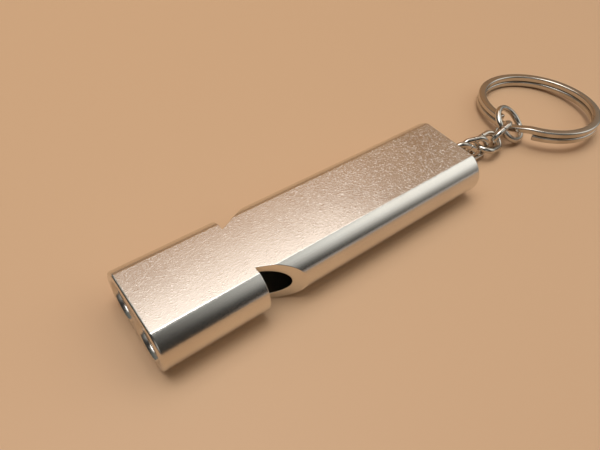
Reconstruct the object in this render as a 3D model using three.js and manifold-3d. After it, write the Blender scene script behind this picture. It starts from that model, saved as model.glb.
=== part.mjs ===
// A flat double-bore whistle in machined aluminium, with a short twisted-link chain and a split ring.
// Millimetres. X runs from the mouth (-X) to the tail (+X), Y to the left, Z up.
// The origin is the middle of the body's flat underside.
import * as THREE from "three";
import { mergeVertices } from "three/addons/utils/BufferGeometryUtils.js";
import Module from "manifold-3d";

const wasm = await Module();
wasm.setup();
const degrees = THREE.MathUtils.degToRad;

// Body: a bar with a flat top and underside, whose long sides bulge out in an arc
const bodyLength = 58;
const bodyWidth = 15.4;
const bodyHeight = 7.7;
const sideBulge = 2.7;
const endBevel = 0.4;

// Bores: two blind holes side by side, drilled from the mouth end to unlike depths for two notes
const boreRadius = 2.8;
const boreSpacing = 7;
const leftBoreDepth = 50;
const rightBoreDepth = 46;
const drillTip = 1.6;
const mouthChamfer = 0.3;

// Windows: one cut through each long side, with a straight wall and a ramp that curves outwards
const windowStart = 15.4;
const windowDepth = 3.75;
const rampRadius = 20;
const rampAngle = degrees(20.6);

// Fipple plugs: D-shaped, with a flat on the outer side that leaves the windway
const plugClearance = 0.15;
const plugRecess = 1;
const windwayHeight = 1.2;
const plugBevel = 0.2;

// Tail eye: a wire loop lying flat on a shank in the tail end
const eyeWire = 1.1;
const eyeInnerRadius = 1.05;
const eyeStandOff = 0.15;
const shankRadius = 0.8;
const shankDepth = 4;
const shankClearance = 0.15;

// Chain: oval wire links, each twisted about its length, and a round jump ring
const linkLength = 6.6;
const linkWidth = 4.6;
const linkWire = 1.1;
const linkTwist = degrees(35);
const jumpDiameter = 8;
const jumpWire = 1.2;
const wireJoint = 0.1;
const eyeSlack = 0.5;
const firstLinkEndHeight = 1.5;

// Split ring: two turns of flat spring wire, which leans on the jump ring
const ringRadius = 12;
const ringWireWidth = 1.5;
const ringWireHeight = 1.1;
const ringTurnGap = 0.1;
const ringCorner = 0.35;
const ringEndGap = 0.6;
const ringStepAngle = degrees(30);
const ringStart = degrees(209);
const ringLean = degrees(5);
const ringLeanTowards = degrees(67);
const ringBearing = degrees(5);
const ringWireOffset = 0.2;
const tableClearance = 0.03;

// One overrun serves every cut, and one set of counts every curve
const overrun = 0.5;
const boreSides = 32;
const shankSides = 16;
const sideArcSteps = 6;
const rampSteps = 12;
const wireSides = 8;
const linkSteps = 44;
const eyeSteps = 24;
const ringSteps = 92;

const tailX = bodyLength / 2;
const mouthX = -tailX;
const midHeight = bodyHeight / 2;
const boreOffset = boreSpacing / 2;

const aluminium = new THREE.MeshStandardMaterial({ color: 0xb9aea6, metalness: 1, roughness: 0.35 });
const nickel = new THREE.MeshStandardMaterial({ color: 0xc9c2b8, metalness: 1, roughness: 0.15 });

// A closed geometry as a solid for joins and cuts
function solidFrom(geometry) {
  const bare = geometry.clone();
  bare.deleteAttribute("normal");
  bare.deleteAttribute("uv");
  const merged = mergeVertices(bare);
  return new wasm.Manifold(
    new wasm.Mesh({
      numProp: 3,
      vertProperties: merged.getAttribute("position").array,
      triVerts: new Uint32Array(merged.index.array),
    }),
  );
}

function geometryFrom(solid) {
  const { vertProperties, triVerts } = solid.getMesh();
  const geometry = new THREE.BufferGeometry();
  geometry.setAttribute("position", new THREE.BufferAttribute(vertProperties, 3));
  geometry.setIndex(new THREE.BufferAttribute(triVerts, 1));
  geometry.computeVertexNormals();
  return geometry;
}

function namedMesh(name, geometry, material) {
  const mesh = new THREE.Mesh(geometry, material);
  mesh.name = name;
  return mesh;
}

// Stands a shape drawn in Y and Z up along X, with its start at the given x
function layAlongX(geometry, x, y, z) {
  const basis = new THREE.Matrix4().makeBasis(
    new THREE.Vector3(0, 1, 0),
    new THREE.Vector3(0, 0, 1),
    new THREE.Vector3(1, 0, 0),
  );
  return geometry.applyMatrix4(basis).translate(x, y, z);
}

// Turns a lathe profile, drawn as (radius, distance along the axis), about an axis along X
function latheAlongX(profile, segments, x, y, z) {
  const points = profile.map(([radius, along]) => new THREE.Vector2(radius, along));
  const basis = new THREE.Matrix4().makeBasis(
    new THREE.Vector3(0, 0, 1),
    new THREE.Vector3(1, 0, 0),
    new THREE.Vector3(0, 1, 0),
  );
  return new THREE.LatheGeometry(points, segments).applyMatrix4(basis).translate(x, y, z);
}

// The bar's section: flats above and below, and an arc at each side through the flats' edges
function bodySection() {
  const sideRadius = (midHeight ** 2 + sideBulge ** 2) / (2 * sideBulge);
  const arcCentre = bodyWidth / 2 - sideRadius;
  const halfAngle = Math.atan2(midHeight, sideRadius - sideBulge);
  const section = new THREE.Shape();
  section.absarc(arcCentre, midHeight, sideRadius, -halfAngle, halfAngle, false);
  section.absarc(-arcCentre, midHeight, sideRadius, Math.PI - halfAngle, Math.PI + halfAngle, false);
  return section;
}

function bodyBar() {
  const bar = new THREE.ExtrudeGeometry(bodySection(), {
    depth: bodyLength - 2 * endBevel,
    bevelThickness: endBevel,
    bevelSize: endBevel,
    bevelOffset: -endBevel,
    bevelSegments: 2,
    curveSegments: sideArcSteps,
  });
  return solidFrom(layAlongX(bar, mouthX + endBevel, 0, 0));
}

function drill(y, depth) {
  const profile = [
    [0, -overrun],
    [boreRadius + mouthChamfer + overrun, -overrun],
    [boreRadius, mouthChamfer],
    [boreRadius, depth],
    [0, depth + drillTip],
  ];
  return solidFrom(latheAlongX(profile, boreSides, mouthX, y, midHeight));
}

// The left window's cutter: a straight wall across the bar, then an arc that runs out of the side
function windowCutter() {
  const wallX = mouthX + windowStart;
  const outerY = bodyWidth / 2 + overrun;
  const floorY = bodyWidth / 2 - windowDepth;
  const endAngle = Math.acos(Math.cos(rampAngle) - (outerY - floorY) / rampRadius);
  const outline = new THREE.Shape();
  outline.moveTo(wallX, outerY);
  outline.lineTo(wallX, floorY);
  outline.absarc(
    wallX - rampRadius * Math.sin(rampAngle),
    floorY + rampRadius * Math.cos(rampAngle),
    rampRadius,
    rampAngle - Math.PI / 2,
    endAngle - Math.PI / 2,
    false,
  );
  const cutter = new THREE.ExtrudeGeometry(outline, {
    depth: bodyHeight + 2 * overrun,
    bevelEnabled: false,
    curveSegments: rampSteps,
  });
  return cutter.translate(0, 0, -overrun);
}

function shankHole() {
  const profile = [
    [0, -shankDepth],
    [shankRadius + shankClearance, -shankDepth],
    [shankRadius + shankClearance, overrun],
    [0, overrun],
  ];
  return solidFrom(latheAlongX(profile, shankSides, tailX, 0, midHeight));
}

function whistleBody() {
  const leftWindow = windowCutter();
  const rightWindow = leftWindow.clone().rotateX(Math.PI).translate(0, 0, bodyHeight);
  const body = bodyBar()
    .subtract(drill(boreOffset, leftBoreDepth))
    .subtract(drill(-boreOffset, rightBoreDepth))
    .subtract(solidFrom(leftWindow))
    .subtract(solidFrom(rightWindow))
    .subtract(shankHole());
  return namedMesh("whistle_body", geometryFrom(body), aluminium);
}

// A plug from its recess in the mouth to the window's wall, with its flat towards the given side
function fipplePlug(name, side) {
  const plugRadius = boreRadius - plugClearance;
  const flatAngle = Math.acos((boreRadius - windwayHeight) / plugRadius);
  const section = new THREE.Shape();
  section.absarc(0, 0, plugRadius, flatAngle, 2 * Math.PI - flatAngle, false);
  const plug = new THREE.ExtrudeGeometry(section, {
    depth: windowStart - plugRecess - 2 * plugBevel,
    bevelThickness: plugBevel,
    bevelSize: plugBevel,
    bevelOffset: -plugBevel,
    bevelSegments: 1,
    curveSegments: boreSides / 2,
  });
  plug.rotateZ(side > 0 ? 0 : Math.PI);
  layAlongX(plug, mouthX + plugRecess + plugBevel, side * boreOffset, midHeight);
  return namedMesh(name, plug, aluminium);
}

const eyeRadius = eyeInnerRadius + eyeWire / 2;
const eyeX = tailX + eyeStandOff + eyeWire / 2 + eyeRadius;

function tailEye() {
  const loop = new THREE.TorusGeometry(eyeRadius, eyeWire / 2, wireSides, eyeSteps);
  const shankStart = shankClearance - shankDepth;
  const shankProfile = [
    [0, shankStart],
    [shankRadius, shankStart],
    [shankRadius, 0],
    [0, eyeX - eyeRadius - tailX],
  ];
  const shank = latheAlongX(shankProfile, shankSides, tailX, 0, midHeight);
  const eye = solidFrom(loop.translate(eyeX, 0, midHeight)).add(solidFrom(shank));
  return namedMesh("tail_eye", geometryFrom(eye), nickel);
}

// The middle of an oval link's wire: two straights and two half circles, turned about X as it
// goes along, with the wire's butt joint in the middle of one straight
class LinkCurve extends THREE.Curve {
  constructor(length, width, wire, twist) {
    super();
    this.bend = (width - wire) / 2;
    this.straight = length - width;
    this.reach = (length - wire) / 2;
    this.twist = twist;
    this.total = 2 * this.straight + 2 * Math.PI * this.bend;
  }

  getPoint(share, target = new THREE.Vector3()) {
    const along = wireJoint / 2 + share * (this.total - wireJoint);
    const half = this.total / 2;
    const side = along < half ? 1 : -1;
    const walked = side > 0 ? along : along - half;
    const turned = THREE.MathUtils.clamp((walked - this.straight / 2) / this.bend, 0, Math.PI);
    const left = Math.max(walked - this.straight / 2 - Math.PI * this.bend, 0);
    const run = Math.min(walked, this.straight / 2) - left;
    const x = side * (run + this.bend * Math.sin(turned));
    const y = side * this.bend * Math.cos(turned);
    const angle = ((this.twist / 2) * x) / this.reach;
    return target.set(x, y * Math.cos(angle), y * Math.sin(angle));
  }
}

function wireSection(radius) {
  const section = new THREE.Shape();
  section.absarc(0, 0, radius, 0, 2 * Math.PI, false);
  return section;
}

function wireLink(length, width, wire, twist) {
  return new THREE.ExtrudeGeometry(wireSection(wire / 2), {
    extrudePath: new LinkCurve(length, width, wire, twist),
    steps: linkSteps,
    curveSegments: wireSides / 2,
  });
}

// How each link lies, in degrees: its turn to the left, its slope upwards and its roll about its
// own length. Its slack is the play between its wire and the one before. The first link slopes
// from the eye down to the height at which the next one carries it.
const firstLinkSlope = -THREE.MathUtils.radToDeg(
  Math.asin((midHeight - firstLinkEndHeight) / (linkLength - linkWire)),
);
const chainLay = [
  { name: "chain_link_1", turn: -7, slope: firstLinkSlope, roll: -59, slack: eyeSlack },
  { name: "chain_link_2", turn: -10, slope: 0, roll: 64, slack: 0.8 },
  { name: "chain_link_3", turn: 2, slope: -3, roll: 14, slack: 0.45 },
  { name: "chain_link_4", turn: 14, slope: 19, roll: -69, slack: 0.7 },
  { name: "jump_ring", turn: 5, slope: -12, roll: 34, slack: 0.65 },
];

// Lays one link after the other, each hooked in the far end of the one before
function layChain() {
  const lastEnd = new THREE.Vector3(eyeX + eyeRadius, 0, midHeight);
  let lastWire = eyeWire;
  let lastAlong = new THREE.Vector3(1, 0, 0);
  return chainLay.map(({ name, turn, slope, roll, slack }) => {
    const isJump = name === "jump_ring";
    const length = isJump ? jumpDiameter : linkLength;
    const width = isJump ? jumpDiameter : linkWidth;
    const wire = isJump ? jumpWire : linkWire;
    const link = namedMesh(name, wireLink(length, width, wire, isJump ? 0 : linkTwist), nickel);
    link.rotation.set(degrees(roll), degrees(-slope), degrees(turn), "ZYX");
    const along = new THREE.Vector3(1, 0, 0).applyEuler(link.rotation);
    const hook = along.clone().add(lastAlong).normalize();
    const nearEnd = lastEnd.clone().addScaledVector(hook, -(wire + lastWire) / 2 - slack);
    link.position.copy(nearEnd).addScaledVector(along, (length - wire) / 2);
    lastEnd.copy(nearEnd).addScaledVector(along, length - wire);
    lastWire = wire;
    lastAlong = along;
    return link;
  });
}

// The middle of the split ring's wire: a turn below, a smooth step up, and a turn above it
class SplitRingCurve extends THREE.Curve {
  constructor(radius, layer) {
    super();
    this.radius = radius;
    this.layer = layer;
    this.total = 4 * Math.PI - ringStepAngle - ringEndGap / radius;
  }

  angleAt(share) {
    return ringStart + share * this.total;
  }

  getPoint(share, target = new THREE.Vector3()) {
    const angle = this.angleAt(share);
    const stepStart = ringStart + 2 * Math.PI - ringStepAngle;
    const rise = THREE.MathUtils.smoothstep(angle, stepStart, stepStart + ringStepAngle);
    const z = (rise - 0.5) * this.layer;
    return target.set(this.radius * Math.cos(angle), this.radius * Math.sin(angle), z);
  }

  // Keeps the flat wire's section upright: its width radial, its height along Z
  computeFrenetFrames(steps) {
    const shares = Array.from({ length: steps + 1 }, (_, step) => step / steps);
    const tangents = shares.map((share) => this.getTangentAt(share));
    const normals = shares.map((share) => {
      const angle = this.angleAt(this.getUtoTmapping(share));
      return new THREE.Vector3(Math.cos(angle), Math.sin(angle), 0);
    });
    const binormals = tangents.map((tangent, i) => tangent.clone().cross(normals[i]).normalize());
    return { tangents, normals, binormals };
  }
}

function flatWireSection() {
  const x = ringWireWidth / 2;
  const y = ringWireHeight / 2;
  const corner = Math.min(ringCorner, x, y);
  const section = new THREE.Shape();
  section.absarc(x - corner, y - corner, corner, 0, Math.PI / 2, false);
  section.absarc(corner - x, y - corner, corner, Math.PI / 2, Math.PI, false);
  section.absarc(corner - x, corner - y, corner, Math.PI, (3 * Math.PI) / 2, false);
  section.absarc(x - corner, corner - y, corner, (3 * Math.PI) / 2, 2 * Math.PI, false);
  return section;
}

// The ring threads the jump ring, rests on the table at one point and leans on the jump ring
function splitRing(jumpRing) {
  const layer = ringWireHeight + ringTurnGap;
  const wireRadius = ringRadius - ringWireWidth / 2;
  const geometry = new THREE.ExtrudeGeometry(flatWireSection(), {
    extrudePath: new SplitRingCurve(wireRadius, layer),
    steps: ringSteps,
    curveSegments: 1,
  });
  const ring = namedMesh("split_ring", geometry, nickel);
  const leanAxis = new THREE.Vector3(-Math.sin(ringLeanTowards), Math.cos(ringLeanTowards), 0);
  ring.quaternion.setFromAxisAngle(leanAxis, ringLean);
  const halfHeight = (layer + ringWireHeight) / 2;
  const height = ringRadius * Math.sin(ringLean) + halfHeight * Math.cos(ringLean) + tableClearance;
  const distance = wireRadius - ringWireOffset;
  ring.position.set(
    jumpRing.position.x + distance * Math.cos(ringBearing),
    jumpRing.position.y + distance * Math.sin(ringBearing),
    height,
  );
  return ring;
}

const chain = layChain();
const whistle = new THREE.Group();
whistle.add(
  whistleBody(),
  fipplePlug("fipple_plug_left", 1),
  fipplePlug("fipple_plug_right", -1),
  tailEye(),
  ...chain,
  splitRing(chain.at(-1)),
);

export default whistle;
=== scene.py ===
import math

import bmesh
import bpy
import numpy as np
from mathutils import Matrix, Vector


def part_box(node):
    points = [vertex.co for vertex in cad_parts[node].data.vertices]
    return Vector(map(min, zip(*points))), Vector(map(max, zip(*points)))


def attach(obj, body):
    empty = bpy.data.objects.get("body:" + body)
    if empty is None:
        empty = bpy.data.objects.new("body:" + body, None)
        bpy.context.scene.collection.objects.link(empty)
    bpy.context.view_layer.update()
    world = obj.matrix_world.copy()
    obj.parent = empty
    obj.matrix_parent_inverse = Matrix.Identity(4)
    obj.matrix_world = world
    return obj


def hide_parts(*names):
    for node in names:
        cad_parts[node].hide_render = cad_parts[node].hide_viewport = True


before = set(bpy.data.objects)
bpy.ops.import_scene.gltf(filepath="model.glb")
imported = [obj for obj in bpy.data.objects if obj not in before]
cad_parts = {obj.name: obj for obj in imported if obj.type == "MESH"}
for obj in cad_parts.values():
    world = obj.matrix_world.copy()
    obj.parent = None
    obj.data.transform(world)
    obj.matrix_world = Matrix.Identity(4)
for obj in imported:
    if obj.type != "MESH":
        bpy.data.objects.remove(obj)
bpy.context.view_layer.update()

mm = 0.001
mergeDistance = 1e-7
smallStep = 1e-6
pointDecimals = 8
roundSteps = 5  # places along a rounded end
bodyLow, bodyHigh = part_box("whistle_body")
print("frame loaded")

camera = {
    "place": (-36.9 * mm, -37.0 * mm, 60.8 * mm),
    "turn": (42.10, -4.30, -37.67),  # degrees, as Blender's XYZ angles
    "lens": 31.07,
    "sensor": 36,
    "nearest": 1 * mm,
}

floor = {
    "width": 3.0,
    "drop": 0.02 * mm,  # keeps the body's underside just off the floor
    "colour": (0.70, 0.44, 0.25),
    "roughness": 0.55,
}

world = {
    "towards": (0.40, 0.72, 0.56),  # the bright side of the room
    "dark": (0.034, 0.032, 0.029),
    "grey": (0.17, 0.185, 0.175),
    "warm": (0.45, 0.235, 0.10),
    "darkShare": 0.60,
    "greyShare": 0.80,
    "windowColour": (1.0, 1.0, 0.97),
    "windowPower": 4,
}

# Soft windows, each with its direction, its strength, and the cosines at its rim and its middle
windows = (
    {"towards": (0.714, -0.333, 0.616), "strength": 1.1, "cosines": (0.60, 0.985)},
    {"towards": (-0.441, -0.765, 0.469), "strength": 0.42, "cosines": (0.76, 1.0)},
)

# Soft boxes, each with its middle, the size of its sides, its tilt from facing down, how far it
# turns, and its power. The strip is a far, low light along the horizon.
softBoxes = {
    "keySoftBox": {
        "place": (-0.02, 0.20, 0.60),
        "size": (0.94, 0.38),
        "tilt": 0,
        "turn": 0,
        "power": 1.5,
    },
    "fillSoftBox": {
        "place": (-0.06, 0.09, 0.90),
        "size": (0.50, 0.46),
        "tilt": 0,
        "turn": 0,
        "power": 2.7,
    },
    "stripSoftBox": {
        "place": (1.07, -1.03, 0.07),
        "size": (1.60, 0.10),
        "tilt": 90,
        "turn": 46,
        "power": 0.25,
    },
}


# Adds a node with its plain socket values set
def addNode(tree, kind, values=None, **settings):
    node = tree.nodes.new(kind)
    for key, value in settings.items():
        setattr(node, key, value)
    for socket, value in (values or {}).items():
        node.inputs[socket].default_value = value
    return node


# A value carried from one range to another, and held at its ends
def mapped(tree, value, fromRange, toRange=(0, 1), smooth=False):
    step = addNode(
        tree,
        "ShaderNodeMapRange",
        {
            "From Min": fromRange[0],
            "From Max": fromRange[1],
            "To Min": toRange[0],
            "To Max": toRange[1],
        },
        interpolation_type="SMOOTHSTEP" if smooth else "LINEAR",
    )
    tree.links.new(value, step.inputs["Value"])
    return step.outputs["Result"]


def combined(tree, operation, first, second):
    step = addNode(tree, "ShaderNodeMath", operation=operation)
    for socket, value in zip(step.inputs, (first, second)):
        if isinstance(value, (int, float)):
            socket.default_value = value
        else:
            tree.links.new(value, socket)
    return step.outputs["Value"]


def makeCamera():
    data = bpy.data.cameras.new("camera")
    data.lens = camera["lens"]
    data.sensor_width = camera["sensor"]
    data.clip_start = camera["nearest"]
    shot = bpy.data.objects.new("camera", data)
    shot.location = camera["place"]
    shot.rotation_euler = [math.radians(angle) for angle in camera["turn"]]
    bpy.context.scene.collection.objects.link(shot)
    bpy.context.scene.camera = shot
    bpy.context.scene.view_settings.view_transform = "Standard"


# An area lamp that faces down until it is tilted, and is then turned about the vertical
def makeSoftBox(name, box):
    data = bpy.data.lights.new(name, "AREA")
    data.shape = "RECTANGLE"
    data.size, data.size_y = box["size"]
    data.energy = box["power"]
    lamp = bpy.data.objects.new(name, data)
    lamp.location = box["place"]
    lamp.rotation_euler = (math.radians(box["tilt"]), 0, math.radians(box["turn"]))
    bpy.context.scene.collection.objects.link(lamp)


# The cosine of the angle between a direction and a fixed one
def facing(tree, direction, towards):
    step = addNode(tree, "ShaderNodeVectorMath", operation="DOT_PRODUCT")
    tree.links.new(direction, step.inputs[0])
    step.inputs[1].default_value = towards
    return step.outputs["Value"]


# The room: its colour follows the cosine of the angle to the bright side, and each soft window
# adds to it by a power of its own cosine's share of the way from rim to middle
def makeWorld():
    room = bpy.data.worlds.new("room")
    bpy.context.scene.world = room
    room.use_nodes = True
    tree = room.node_tree
    tree.nodes.clear()
    direction = addNode(tree, "ShaderNodeTexCoord").outputs["Generated"]
    share = mapped(tree, facing(tree, direction, world["towards"]), (-1, 1))
    ramp = addNode(tree, "ShaderNodeValToRGB")
    stops = ramp.color_ramp.elements
    stops[0].position, stops[0].color = world["darkShare"], (*world["dark"], 1)
    stops[1].position, stops[1].color = 1, (*world["warm"], 1)
    stops.new(world["greyShare"]).color = (*world["grey"], 1)
    tree.links.new(share, ramp.inputs["Fac"])
    glow = addNode(tree, "ShaderNodeBackground")
    tree.links.new(ramp.outputs["Color"], glow.inputs["Color"])

    light = glow.outputs["Background"]
    for window in windows:
        share = mapped(tree, facing(tree, direction, window["towards"]), window["cosines"])
        share = combined(tree, "POWER", share, world["windowPower"])
        share = combined(tree, "MULTIPLY", share, window["strength"])
        pane = addNode(tree, "ShaderNodeBackground", {"Color": (*world["windowColour"], 1)})
        tree.links.new(share, pane.inputs["Strength"])
        both = addNode(tree, "ShaderNodeAddShader")
        tree.links.new(light, both.inputs[0])
        tree.links.new(pane.outputs["Background"], both.inputs[1])
        light = both.outputs["Shader"]
    out = addNode(tree, "ShaderNodeOutputWorld")
    tree.links.new(light, out.inputs["Surface"])


makeCamera()
makeWorld()
for boxName, boxSettings in softBoxes.items():
    makeSoftBox(boxName, boxSettings)
print("camera and lights made")


# A grid of points as a mesh: each four neighbours are a face, a closed direction joins its last
# points to its first, and a capped end is one flat face. Doubled points are merged, and every
# face is turned outwards.
def gridMesh(name, points, closeRows=False, caps=False):
    rows, columns = points.shape[:2]
    index = np.arange(rows * columns).reshape(rows, columns)
    if closeRows:
        index = np.vstack([index, index[:1]])
    index = np.hstack([index, index[:, :1]])
    corners = (index[:-1, :-1], index[1:, :-1], index[1:, 1:], index[:-1, 1:])
    faces = np.stack(corners, -1).reshape(-1, 4).tolist()
    if caps:
        faces += [index[0, :-1].tolist(), index[-1, :-1].tolist()]
    mesh = bpy.data.meshes.new(name)
    mesh.from_pydata(points.reshape(-1, 3).tolist(), [], faces)
    cleaned = bmesh.new()
    cleaned.from_mesh(mesh)
    bmesh.ops.remove_doubles(cleaned, verts=cleaned.verts, dist=mergeDistance)
    bmesh.ops.recalc_face_normals(cleaned, faces=cleaned.faces)
    cleaned.to_mesh(mesh)
    cleaned.free()
    piece = bpy.data.objects.new(name, mesh)
    bpy.context.scene.collection.objects.link(piece)
    return piece


# Joins or cuts the piece with each tool in turn, and keeps the result as the piece's own mesh
def carve(piece, tools, operation="DIFFERENCE"):
    for tool in tools:
        step = piece.modifiers.new("carve", "BOOLEAN")
        step.operation = operation
        step.solver = "EXACT"
        step.object = tool
    bpy.context.view_layer.update()
    finished = piece.evaluated_get(bpy.context.evaluated_depsgraph_get())
    piece.data = bpy.data.meshes.new_from_object(finished)
    piece.modifiers.clear()
    for tool in tools:
        bpy.data.objects.remove(tool)


edges = {
    "mergeShare": 1 / 8,  # of the edge's radius
    "flatAngle": 0.2,  # degrees, below which neighbouring faces become one
    "segments": 3,
    "profile": 0.5,
    "mostCorners": 4,
}


# Rounds every edge that is sharper than the limit
def softenEdges(piece, radius, limit):
    shape = bmesh.new()
    shape.from_mesh(piece.data)
    bmesh.ops.remove_doubles(shape, verts=shape.verts, dist=radius * edges["mergeShare"])
    bmesh.ops.dissolve_limit(
        shape,
        angle_limit=math.radians(edges["flatAngle"]),
        verts=shape.verts,
        edges=shape.edges,
    )
    sharp = [
        edge
        for edge in shape.edges
        if edge.is_manifold and edge.calc_face_angle() > math.radians(limit)
    ]
    bmesh.ops.bevel(
        shape,
        geom=sharp,
        offset=radius,
        segments=edges["segments"],
        profile=edges["profile"],
        affect="EDGES",
        clamp_overlap=False,
    )
    large = [face for face in shape.faces if len(face.verts) > edges["mostCorners"]]
    bmesh.ops.triangulate(shape, faces=large)
    shape.to_mesh(piece.data)
    shape.free()


# Shades a piece smooth up to the limit. Large faces lead the shading, so that flats stay flat.
def dress(piece, body, node, material, smoothLimit):
    piece.data.shade_smooth()
    piece.data.set_sharp_from_angle(angle=math.radians(smoothLimit))
    even = piece.modifiers.new("evenShading", "WEIGHTED_NORMAL")
    even.keep_sharp = True
    piece.data.materials.clear()
    piece.data.materials.append(material)
    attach(piece, body)
    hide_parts(node)


# A profile of (radius, distance) pairs turned round a line along X: each ring of the grid is the
# line's place plus the radius times the cosine and sine of the turn
def turned(name, profile, place, sides):
    radius, along = np.array(profile).T[:, :, None]
    turn = np.linspace(0, 2 * np.pi, sides, endpoint=False)[None, :]
    x = place[0] + along + 0 * turn
    y = place[1] + radius * np.cos(turn)
    z = place[2] + radius * np.sin(turn)
    return gridMesh(name, np.stack([x, y, z], -1), caps=True)


# How far a section shrinks at a distance from its nearer end: a quarter circle of the given radius
def endInset(distance, radius):
    left = np.clip(radius - distance, 0, radius)
    return radius - np.sqrt(radius**2 - left**2)


# Places along a length, close together where the ends are rounded and evenly spaced between
def endStations(length, radius, count):
    turn = np.linspace(0, np.pi / 2, roundSteps)
    start = radius * (1 - np.cos(turn))
    between = np.linspace(radius, length - radius, count)
    return np.concatenate([start[:-1], between, length - start[-2::-1]])


satin = {
    "colour": (0.785, 0.755, 0.70),
    "stain": (0.70, 0.655, 0.595),
    "flatRoughness": (0.20, 0.28),
    "sideRoughness": (0.17, 0.23),
    "grainScale": 5200,  # per metre
    "grainDetail": 3,
    "grainHeight": 0.0025,
    "grainRange": (0.3, 0.7),
    "peelScale": 2300,
    "peelDetail": 1,
    "peelHeight": 0.008,
    "curlScale": 1750,
    "curlBend": 1.4,
    "curlWidth": 0.09,
    "curlBreak": (0.44, 0.56),
    "breakRatio": 1.6,
    "breakDetail": 1,
    "curlHeight": 0.0125,
    "patchScale": 75,
    "patchDetail": 2,
    "thickPatch": (0.36, 0.6),
    "thickShare": (0.5, 1),
    "stainPatch": (0.4, 0.75),
    "flatFrom": 0.14,  # mm below the flat at which its texture starts
    "flatTo": 0.03,
    "fadeFrom": -26,  # mm along X, over which the curls grow stronger
    "fadeTo": 18,
    "fadeLeast": 0.3,
}


def newMaterial(name):
    material = bpy.data.materials.new(name)
    material.use_nodes = True
    tree = material.node_tree
    tree.nodes.clear()
    shader = addNode(tree, "ShaderNodeBsdfPrincipled", {"Metallic": 1})
    out = addNode(tree, "ShaderNodeOutputMaterial")
    tree.links.new(shader.outputs["BSDF"], out.inputs["Surface"])
    place = addNode(tree, "ShaderNodeTexCoord")
    return material, tree, shader, place.outputs["Object"]


def noiseAt(tree, place, scale, detail, distortion=0):
    noise = addNode(
        tree, "ShaderNodeTexNoise", {"Scale": scale, "Detail": detail, "Distortion": distortion}
    )
    tree.links.new(place, noise.inputs["Vector"])
    return noise.outputs["Fac"]


def bumped(tree, height, distance, before=None):
    step = addNode(tree, "ShaderNodeBump", {"Strength": 1, "Distance": distance * mm})
    tree.links.new(height, step.inputs["Height"])
    if before:
        tree.links.new(before, step.inputs["Normal"])
    return step.outputs["Normal"]


# Short curls: the level line of a bent noise, as wide as the width allows, which a finer noise
# breaks into pieces
def curls(tree, place):
    bent = noiseAt(tree, place, satin["curlScale"], 0, satin["curlBend"])
    away = combined(tree, "ABSOLUTE", combined(tree, "SUBTRACT", bent, 0.5), 0)
    line = mapped(tree, away, (0, satin["curlWidth"]), (1, 0), smooth=True)
    finer = satin["curlScale"] * satin["breakRatio"]
    broken = mapped(tree, noiseAt(tree, place, finer, satin["breakDetail"]), satin["curlBreak"])
    return combined(tree, "MULTIPLY", line, broken)


# Satin aluminium. The flats are blasted: a fine grain, a soft peel, and curls that are strongest
# at the tail. The rounded sides are smoother. A flat is told by its height from the middle.
def satinAluminium():
    material, tree, shader, place = newMaterial("satinAluminium")
    apart = addNode(tree, "ShaderNodeSeparateXYZ")
    tree.links.new(place, apart.inputs["Vector"])
    halfHeight = (bodyHigh.z - bodyLow.z) / 2
    fromMiddle = combined(tree, "SUBTRACT", apart.outputs["Z"], bodyLow.z + halfHeight)
    fromMiddle = combined(tree, "ABSOLUTE", fromMiddle, 0)
    flatRange = (halfHeight - satin["flatFrom"] * mm, halfHeight - satin["flatTo"] * mm)
    flat = mapped(tree, fromMiddle, flatRange, smooth=True)

    grain = noiseAt(tree, place, satin["grainScale"], satin["grainDetail"])
    peel = noiseAt(tree, place, satin["peelScale"], satin["peelDetail"])
    patch = noiseAt(tree, place, satin["patchScale"], satin["patchDetail"])
    fadeRange = (satin["fadeFrom"] * mm, satin["fadeTo"] * mm)
    fade = mapped(tree, apart.outputs["X"], fadeRange, (satin["fadeLeast"], 1))
    thick = mapped(tree, patch, satin["thickPatch"], satin["thickShare"])
    shown = combined(tree, "MULTIPLY", combined(tree, "MULTIPLY", fade, thick), flat)
    curl = combined(tree, "MULTIPLY", curls(tree, place), shown)
    peel = combined(tree, "MULTIPLY", peel, shown)

    colour = addNode(tree, "ShaderNodeMix", data_type="RGBA")
    colour.inputs["A"].default_value = (*satin["colour"], 1)
    colour.inputs["B"].default_value = (*satin["stain"], 1)
    tree.links.new(mapped(tree, patch, satin["stainPatch"]), colour.inputs["Factor"])
    tree.links.new(colour.outputs["Result"], shader.inputs["Base Color"])

    rough = addNode(tree, "ShaderNodeMix", data_type="FLOAT")
    tree.links.new(flat, rough.inputs["Factor"])
    for socket, key in (("A", "sideRoughness"), ("B", "flatRoughness")):
        tree.links.new(mapped(tree, grain, satin["grainRange"], satin[key]), rough.inputs[socket])
    tree.links.new(rough.outputs["Result"], shader.inputs["Roughness"])

    normal = bumped(tree, grain, satin["grainHeight"])
    normal = bumped(tree, peel, satin["peelHeight"], normal)
    normal = bumped(tree, curl, satin["curlHeight"], normal)
    tree.links.new(normal, shader.inputs["Normal"])
    return material


nickel = {
    "colour": (0.59, 0.55, 0.49),
    "shade": (0.43, 0.385, 0.325),
    "roughness": (0.10, 0.24),
    "cloudScale": 260,
    "cloudDetail": 4,
    "shadeCloud": (0.5, 0.8),
    "roughCloud": (0.35, 0.7),
    "waveScale": 700,
    "waveDetail": 2,
    "waveHeight": 0.012,
}


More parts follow.
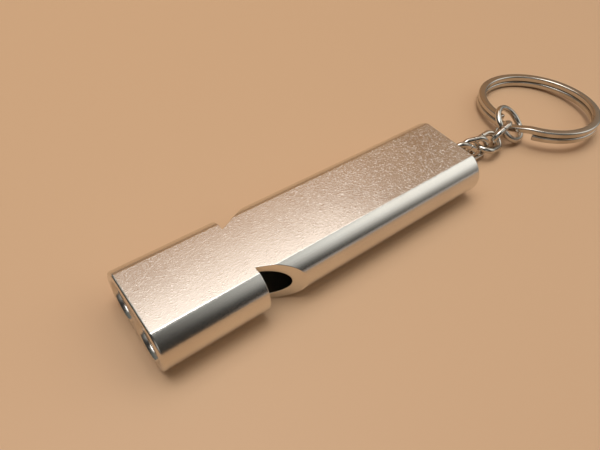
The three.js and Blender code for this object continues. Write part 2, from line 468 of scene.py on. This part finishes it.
# Bright nickel plate: clouded roughness, slightly wavy from the drawn wire underneath
def brightNickel(name):
    material, tree, shader, place = newMaterial(name)
    cloud = noiseAt(tree, place, nickel["cloudScale"], nickel["cloudDetail"])
    wave = noiseAt(tree, place, nickel["waveScale"], nickel["waveDetail"])
    colour = addNode(tree, "ShaderNodeMix", data_type="RGBA")
    colour.inputs["A"].default_value = (*nickel["colour"], 1)
    colour.inputs["B"].default_value = (*nickel["shade"], 1)
    tree.links.new(mapped(tree, cloud, nickel["shadeCloud"]), colour.inputs["Factor"])
    tree.links.new(colour.outputs["Result"], shader.inputs["Base Color"])
    rough = mapped(tree, cloud, nickel["roughCloud"], nickel["roughness"])
    tree.links.new(rough, shader.inputs["Roughness"])
    tree.links.new(bumped(tree, wave, nickel["waveHeight"]), shader.inputs["Normal"])
    return material


bodyMetal = satinAluminium()
wireMetal = brightNickel("nickelWire")
ringMetal = brightNickel("nickelRing")
print("materials made")

body = {
    "bulge": 2.7 * mm,
    "endRound": 0.4 * mm,
    "sideSteps": 49,
    "boreRadius": 2.8 * mm,
    "boreSpacing": 7 * mm,
    "leftDepth": 50 * mm,
    "rightDepth": 46 * mm,
    "drillTip": 1.6 * mm,
    "mouthFlare": 0.25 * mm,  # how much wider the bore is at the mouth, and over what length
    "flareLength": 0.5 * mm,
    "boreSides": 96,
    "windowStart": 15.4 * mm,
    "windowDepth": 3.75 * mm,
    "rampRadius": 20 * mm,
    "rampAngle": 20.6,
    "rampSteps": 40,
    "shankHole": 0.95 * mm,
    "shankDepth": 4 * mm,
    "overrun": 0.5 * mm,
    "edgeRadius": 0.08 * mm,
    "edgeLimit": 16,  # degrees
    "smoothLimit": 30,
    "flatSteps": 2,
    "shankSides": 48,
}

bodyLength, bodyWidth, bodyHeight = bodyHigh - bodyLow
midHeight = (bodyLow.z + bodyHigh.z) / 2


# The bar: at each place along X its section is two side arcs joined by flats. The arc's half
# angle is the arcsine of the flat's height over the arc's radius, both less the end's inset.
def bar():
    half = bodyHeight / 2
    radius = (half**2 + body["bulge"] ** 2) / (2 * body["bulge"])
    along = endStations(bodyLength, body["endRound"], body["flatSteps"])
    inset = endInset(np.minimum(along, bodyLength - along), body["endRound"])[:, None]
    turn = np.linspace(-1, 1, body["sideSteps"]) * np.arcsin((half - inset) / (radius - inset))
    y = bodyWidth / 2 - radius + (radius - inset) * np.cos(turn)
    z = midHeight + (radius - inset) * np.sin(turn)
    x = bodyLow.x + along[:, None] + 0 * turn
    right = np.stack([x, y, z], -1)
    left = right[:, ::-1] * (1, -1, 1)
    return gridMesh("body", np.hstack([right, left]), caps=True)


def drill(side, depth):
    over, radius, flare = body["overrun"], body["boreRadius"], body["mouthFlare"]
    profile = [
        (radius + flare * (1 + over / body["flareLength"]), -over),
        (radius, body["flareLength"]),
        (radius, depth),
        (0, depth + body["drillTip"]),
    ]
    place = (bodyLow.x, side * body["boreSpacing"] / 2, midHeight)
    return turned("drill", profile, place, body["boreSides"])


def shankDrill():
    profile = [(body["shankHole"], -body["shankDepth"]), (body["shankHole"], body["overrun"])]
    return turned("shankDrill", profile, (bodyHigh.x, 0, midHeight), body["shankSides"])


# The window's cutter: an outline in X and Y, a straight wall and then an arc out of the side,
# carried from below the bar to above it
def windowCutter(side):
    wall = bodyLow.x + body["windowStart"]
    outer = bodyWidth / 2 + body["overrun"]
    floorY = bodyWidth / 2 - body["windowDepth"]
    radius, start = body["rampRadius"], math.radians(body["rampAngle"])
    end = math.acos(math.cos(start) - (outer - floorY) / radius)
    turn = np.linspace(start, end, body["rampSteps"])
    x = wall - radius * math.sin(start) + radius * np.sin(turn)
    y = floorY + radius * math.cos(start) - radius * np.cos(turn)
    outline = np.stack([np.append(x, wall), side * np.append(y, outer)], -1)
    low, high = bodyLow.z - body["overrun"], bodyHigh.z + body["overrun"]
    layers = [np.insert(outline, 2, height, axis=1) for height in (low, high)]
    return gridMesh("windowCutter", np.stack(layers), caps=True)


def whistleBody():
    piece = bar()
    tools = [drill(1, body["leftDepth"]), drill(-1, body["rightDepth"]), shankDrill()]
    tools += [windowCutter(1), windowCutter(-1)]
    carve(piece, tools)
    softenEdges(piece, body["edgeRadius"], body["edgeLimit"])
    dress(piece, "whistle", "whistle_body", bodyMetal, body["smoothLimit"])


whistleBody()
print("body made")

plug = {
    "clearance": 0.15 * mm,
    "recess": 1 * mm,
    "windway": 1.2 * mm,
    "endRound": 0.2 * mm,
    "sides": 80,
    "flatSteps": 2,
    "smoothLimit": 35,
}


# A plug: at each place along X its section is the arc that a flat leaves of a circle. The arc
# starts at the arccosine of the flat's distance over the circle's radius, both less the inset.
def fipplePlug(name, side, node):
    radius = body["boreRadius"] - plug["clearance"]
    flat = body["boreRadius"] - plug["windway"]
    length = body["windowStart"] - plug["recess"]
    along = endStations(length, plug["endRound"], plug["flatSteps"])
    inset = endInset(np.minimum(along, length - along), plug["endRound"])[:, None]
    start = np.arccos((flat - inset) / (radius - inset))
    turn = start + np.linspace(0, 1, plug["sides"]) * (2 * np.pi - 2 * start)
    y = side * (body["boreSpacing"] / 2 + (radius - inset) * np.cos(turn))
    z = midHeight + (radius - inset) * np.sin(turn)
    x = bodyLow.x + plug["recess"] + along[:, None] + 0 * turn
    piece = gridMesh(name, np.stack([x, y, z], -1), caps=True)
    dress(piece, "whistle", node, bodyMetal, plug["smoothLimit"])


fipplePlug("plugLeft", 1, "fipple_plug_left")
fipplePlug("plugRight", -1, "fipple_plug_right")
print("plugs made")

eye = {
    "wire": 1.06 * mm,
    "innerRadius": 1.07 * mm,
    "standOff": 0.17 * mm,
    "shankRadius": 0.8 * mm,
    "shankClearance": 0.15 * mm,
    "shankRound": 0.2 * mm,
    "tipShare": 1 / 3,  # the shank's radius inside the loop's wire, as a share of the wire
    "loopSteps": 96,
    "wireSides": 32,
    "smoothLimit": 35,
}


# The loop is a ring surface: from the middle go out by the loop's radius plus the wire's radius
# times a cosine, and up by the wire's radius times a sine. The shank is a turned pin.
def tailEye():
    loopRadius = eye["innerRadius"] + eye["wire"] / 2
    middle = bodyHigh.x + eye["standOff"] + eye["wire"] / 2 + loopRadius
    turn = np.linspace(0, 2 * np.pi, eye["loopSteps"], endpoint=False)[:, None]
    around = np.linspace(0, 2 * np.pi, eye["wireSides"], endpoint=False)[None, :]
    out = loopRadius + eye["wire"] / 2 * np.cos(around)
    z = midHeight + eye["wire"] / 2 * np.sin(around) + 0 * turn
    loop = np.stack([middle + out * np.cos(turn), out * np.sin(turn), z], -1)
    piece = gridMesh("eye", loop, closeRows=True)
    start = eye["shankClearance"] - body["shankDepth"]
    end = middle - loopRadius - bodyHigh.x
    profile = [
        (eye["shankRadius"] - eye["shankRound"], start),
        (eye["shankRadius"], start + eye["shankRound"]),
        (eye["shankRadius"], 0),
        (eye["wire"] * eye["tipShare"], end),
    ]
    shank = turned("shank", profile, (bodyHigh.x, 0, midHeight), eye["wireSides"])
    carve(piece, [shank], "UNION")
    dress(piece, "whistle", "tail_eye", wireMetal, eye["smoothLimit"])


tailEye()

link = {
    "length": 6.56 * mm,
    "width": 4.56 * mm,
    "wire": 1.06 * mm,
    "twist": 35,  # degrees from end to end
    "joint": 0.1 * mm,
    "jointRound": 0.1 * mm,
    "steps": 160,
    "sides": 24,
    "smoothLimit": 50,
}

jump = {
    "length": 7.96 * mm,
    "width": 7.96 * mm,
    "wire": 1.16 * mm,
    "twist": 0,
    "joint": 0.1 * mm,
    "jointRound": 0.12 * mm,
    "steps": 180,
    "sides": 28,
    "smoothLimit": 50,
}


# A CAD node's own points, each once
def nodePoints(node):
    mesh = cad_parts[node].data
    points = np.empty(len(mesh.vertices) * 3)
    mesh.vertices.foreach_get("co", points)
    return np.unique(points.reshape(-1, 3).round(pointDecimals), axis=0)


# A link's middle and its own axes: its points spread most along its length, then along its width
def ownAxes(node):
    points = nodePoints(node)
    middle = points.mean(0)
    spread, axes = np.linalg.eigh(np.cov((points - middle).T))
    lengthwise = axes[:, 2] * np.sign(axes[0, 2])
    widthwise = axes[:, 1] * np.sign(axes[2, 1])
    return middle, lengthwise, widthwise, np.cross(lengthwise, widthwise)


# The wire's middle: two straights and two half circles, walked from the joint in the middle of
# one straight, and turned about the length by the twist times the share of the way along
def linkPath(shape, walked):
    bend = (shape["width"] - shape["wire"]) / 2
    straight = shape["length"] - shape["width"]
    total = 2 * straight + 2 * np.pi * bend
    side = np.where(walked < total / 2, 1, -1)
    step = np.where(walked < total / 2, walked, walked - total / 2)
    turn = np.clip((step - straight / 2) / bend, 0, np.pi)
    left = np.maximum(step - straight / 2 - np.pi * bend, 0)
    x = side * (np.minimum(step, straight / 2) - left + bend * np.sin(turn))
    y = side * bend * np.cos(turn)
    angle = math.radians(shape["twist"]) * x / (shape["length"] - shape["wire"])
    return np.stack([x, y * np.cos(angle), y * np.sin(angle)], -1), angle


# A round wire along a path: each ring lies square to the path, on two directions that are square
# to it and to each other, and is drawn in at the wire's two ends
def wireLink(name, shape, node, riding):
    bend = (shape["width"] - shape["wire"]) / 2
    total = 2 * (shape["length"] - shape["width"]) + 2 * np.pi * bend
    cut = shape["joint"] / 2
    along = endStations(total - 2 * cut, shape["jointRound"], shape["steps"])
    path, angle = linkPath(shape, along + cut)
    ahead, _ = linkPath(shape, (along + cut + smallStep) % total)
    tangent = ahead - path
    tangent /= np.linalg.norm(tangent, axis=1, keepdims=True)
    up = np.stack([0 * angle, -np.sin(angle), np.cos(angle)], -1)
    up -= tangent * (up * tangent).sum(1, keepdims=True)
    up /= np.linalg.norm(up, axis=1, keepdims=True)
    out = np.cross(tangent, up)
    inset = endInset(np.minimum(along, total - 2 * cut - along), shape["jointRound"])
    radius = (shape["wire"] / 2 - inset)[:, None, None]
    turn = np.linspace(0, 2 * np.pi, shape["sides"], endpoint=False)[None, :, None]
    ring = radius * (np.cos(turn) * up[:, None] + np.sin(turn) * out[:, None])
    middle, *axes = ownAxes(node)
    points = middle + (path[:, None] + ring) @ np.array(axes)
    piece = gridMesh(name, points, caps=True)
    dress(piece, riding, node, wireMetal, shape["smoothLimit"])


for number in range(1, 5):
    wireLink(f"link{number}", link, f"chain_link_{number}", f"link_{number}")
wireLink("jumpRing", jump, "jump_ring", "jump")
print("chain made")

ring = {
    "wireWidth": 1.5 * mm,
    "wireHeight": 1.1 * mm,
    "turnGap": 0.1 * mm,
    "corner": 0.3 * mm,
    "endGap": 0.6 * mm,
    "endRound": 0.18 * mm,
    "stepAngle": 30,
    "start": 209,
    "lean": 5,
    "leanTowards": 67,
    "radius": 12 * mm,
    "steps": 420,
    "cornerSteps": 7,
    "smoothLimit": 40,
}


# The flat wire's section: four quarter circles at the corners of a rectangle, less the inset
def flatWire(inset):
    halfWidth = ring["wireWidth"] / 2 - inset
    halfHeight = ring["wireHeight"] / 2 - inset
    corner = ring["corner"] - inset
    turn = np.linspace(0, np.pi / 2, ring["cornerSteps"])
    turn = np.concatenate([turn, turn + np.pi / 2, turn + np.pi, turn + 3 * np.pi / 2])
    quarter = np.repeat(np.arange(4), ring["cornerSteps"])
    across = np.where((quarter == 0) | (quarter == 3), 1, -1)
    upwards = np.where(quarter < 2, 1, -1)
    out = across * (halfWidth - corner) + corner * np.cos(turn)
    up = upwards * (halfHeight - corner) + corner * np.sin(turn)
    return out, up


# Two turns of flat wire: the place round the ring grows steadily, and the height rises by one
# wire in a smooth step, three times the share squared less twice its cube
def splitRing():
    wireRadius = ring["radius"] - ring["wireWidth"] / 2
    step = math.radians(ring["stepAngle"])
    start = math.radians(ring["start"])
    total = 4 * math.pi - step - ring["endGap"] / wireRadius
    along = endStations(total * wireRadius, ring["endRound"], ring["steps"])
    inset = endInset(np.minimum(along, total * wireRadius - along), ring["endRound"])[:, None]
    angle = start + along / wireRadius
    share = np.clip((angle - start - 2 * np.pi + step) / step, 0, 1)
    layer = ring["wireHeight"] + ring["turnGap"]
    height = (share**2 * (3 - 2 * share) - 0.5) * layer
    out, up = flatWire(inset)
    radius = wireRadius + out
    angle = angle[:, None]
    local = np.stack([radius * np.cos(angle), radius * np.sin(angle), height[:, None] + up], -1)
    lean, towards = math.radians(ring["lean"]), math.radians(ring["leanTowards"])
    down = np.array([math.cos(towards), math.sin(towards), 0])
    level = np.array([-math.sin(towards), math.cos(towards), 0])
    slope = down * math.cos(lean) - np.array([0, 0, math.sin(lean)])
    normal = np.cross(slope, level)
    low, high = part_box("split_ring")
    middle = (np.array(low) + np.array(high)) / 2
    flat = local[..., :2] @ np.array([down[:2], level[:2]]).T
    points = middle + flat[..., :1] * slope + flat[..., 1:] * level + local[..., 2:] * normal
    piece = gridMesh("splitRing", points, caps=True)
    dress(piece, "ring", "split_ring", ringMetal, ring["smoothLimit"])


splitRing()
print("split ring made")


def makeFloor():
    half = floor["width"] / 2
    mesh = bpy.data.meshes.new("floor")
    corners = [(-half, -half), (half, -half), (half, half), (-half, half)]
    level = bodyLow.z - floor["drop"]
    mesh.from_pydata([(x, y, level) for x, y in corners], [], [(0, 1, 2, 3)])
    piece = bpy.data.objects.new("floor", mesh)
    bpy.context.scene.collection.objects.link(piece)
    material = bpy.data.materials.new("paleFloor")
    material.use_nodes = True
    shader = material.node_tree.nodes["Principled BSDF"]
    shader.inputs["Base Color"].default_value = (*floor["colour"], 1)
    shader.inputs["Roughness"].default_value = floor["roughness"]
    mesh.materials.append(material)


makeFloor()
